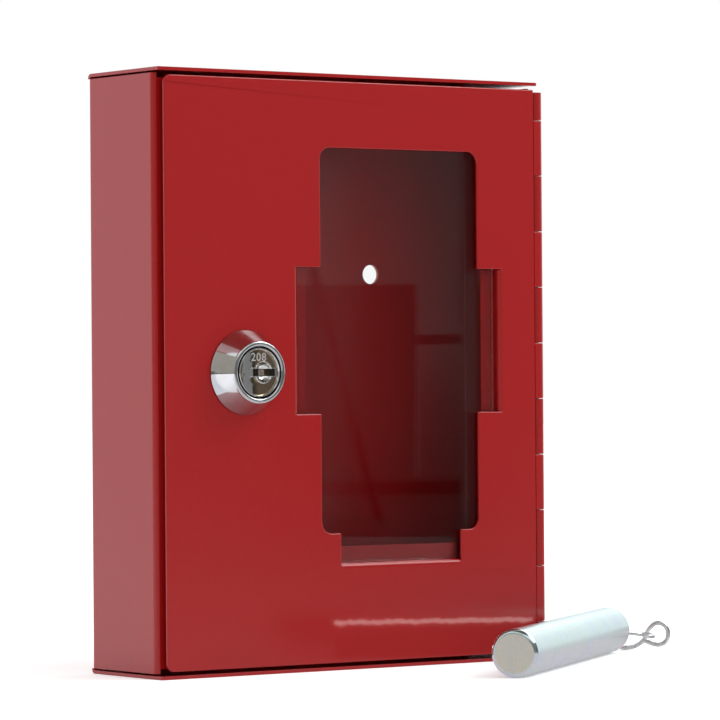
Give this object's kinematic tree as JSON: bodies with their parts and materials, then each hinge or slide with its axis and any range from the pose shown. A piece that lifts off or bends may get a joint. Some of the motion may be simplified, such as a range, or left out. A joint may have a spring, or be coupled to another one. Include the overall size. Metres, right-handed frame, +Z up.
{
  "type": "emergency key cabinet",
  "caption": "Small folded-steel emergency key cabinet: hinged door, slide-in breakable pane, cam lock, and a loose bar striker.",
  "frame": {"origin": "middle of the bottom plate's underside, where the cabinet stands", "axes": "+Z up, -Y out of the door's face, +X towards the hinge side"},
  "size_m": [0.1643, 0.0876, 0.15],
  "materials": {
    "red_powder_coat": "glossy",
    "bare_steel_pin": "satin",
    "clear_glass": "clear",
    "chrome_plate": "polished",
    "nickel_plug": "bright",
    "brass": "satin",
    "spring_steel": "satin",
    "zinc_plated_steel": "satin",
    "bright_zinc_plate": "bright zinc plate",
    "zinc_plated_wire": "bright zinc plate"
  },
  "bodies": {
    "cabinet": {"cabinet_shell": "red_powder_coat", "hinge_pin": "bare_steel_pin"},
    "door": {"door_panel": "red_powder_coat", "lock_housing": "chrome_plate", "lock_washer": "spring_steel", "lock_nut": "zinc_plated_steel"},
    "pane": {"glass_pane": "clear_glass"},
    "lock": {"lock_plug": "nickel_plug", "dust_shutter": "brass", "lock_cam": "zinc_plated_steel", "cam_washer": "spring_steel", "cam_screw": "zinc_plated_steel", "lock_wafer_1": "brass", "lock_wafer_2": "brass", "lock_wafer_3": "brass", "lock_wafer_4": "brass", "wafer_spring_1": "spring_steel", "wafer_spring_2": "spring_steel", "wafer_spring_3": "spring_steel", "wafer_spring_4": "spring_steel"},
    "striker": {"hammer_body": "bright_zinc_plate", "hammer_eye": "zinc_plated_wire"},
    "link": {"hammer_link": "zinc_plated_wire"}
  },
  "joints": [
    {"name": "door_hinge", "type": "hinge", "parent": "cabinet", "child": "door", "pos_m": [0.05958, -0.01435, 0.075], "axis": [0, 0, 1], "range_deg": [0, 180]},
    {"name": "lock_turn", "type": "hinge", "parent": "door", "child": "lock", "pos_m": [-0.0335, -0.0163, 0.075], "axis": [0, 1, 0], "range_deg": [0, 90]},
    {"name": "pane_lift", "type": "slide", "parent": "door", "child": "pane", "axis": [0, 0, 1], "range_m": [0, 0.011]},
    {"name": "striker_push", "type": "slide", "parent": "cabinet", "child": "striker", "axis": [0.7071, -0.7071, 0], "range_m": [0, 0.2046]},
    {"name": "link_swing", "type": "hinge", "parent": "striker", "child": "link", "pos_m": [0.10039, -0.00923, 0.00422], "axis": [0, 0, 1], "range_deg": [-45, 30]}
  ],
  "couplings": [
    {"joint": "striker_push", "follows": "door_hinge", "m_per_rad": 0.065}
  ]
}
